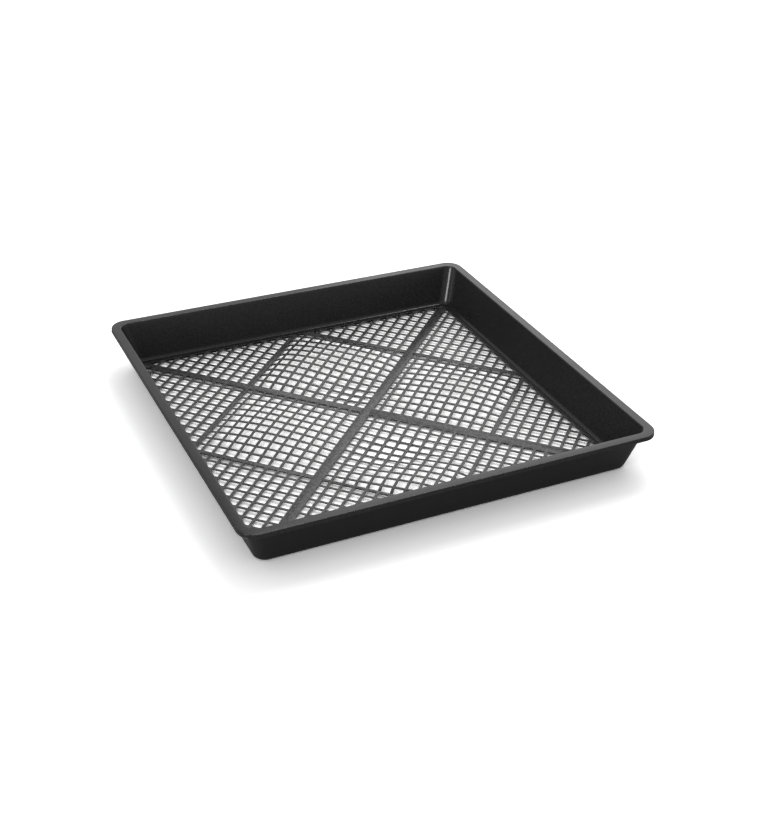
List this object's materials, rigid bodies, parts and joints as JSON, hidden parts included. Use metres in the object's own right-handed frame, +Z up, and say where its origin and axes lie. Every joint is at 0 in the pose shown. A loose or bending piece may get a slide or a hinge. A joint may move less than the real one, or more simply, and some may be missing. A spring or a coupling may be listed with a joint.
{
  "type": "sprouting tray",
  "caption": "Square shallow plastic tray with a flat rolled rim, drafted walls and an open diamond net floor held by corner to corner ribs.",
  "frame": {"origin": "on the ground under the middle of the tray", "axes": "+Z up, +X along the front side towards its right end, +Y from the front side to the back side"},
  "size_m": [0.2708, 0.2708, 0.0295],
  "materials": {
    "shell": "satin black",
    "net": "satin black"
  },
  "bodies": {
    "root": {"rim": "shell", "side_wall": "shell", "base_ring": "shell", "long_rib": "net", "cross_rib_left": "net", "cross_rib_right": "net", "diamond_rib_right_1": "net", "diamond_rib_right_2": "net", "diamond_rib_back_1": "net", "diamond_rib_back_2": "net", "diamond_rib_left_1": "net", "diamond_rib_left_2": "net", "diamond_rib_front_1": "net", "diamond_rib_front_2": "net", "net_right": "net", "net_back": "net", "net_left": "net", "net_front": "net", "corner_net_right_1": "net", "corner_net_right_2": "net", "corner_net_back_1": "net", "corner_net_back_2": "net", "corner_net_left_1": "net", "corner_net_left_2": "net", "corner_net_front_1": "net", "corner_net_front_2": "net"}
  },
  "joints": []
}
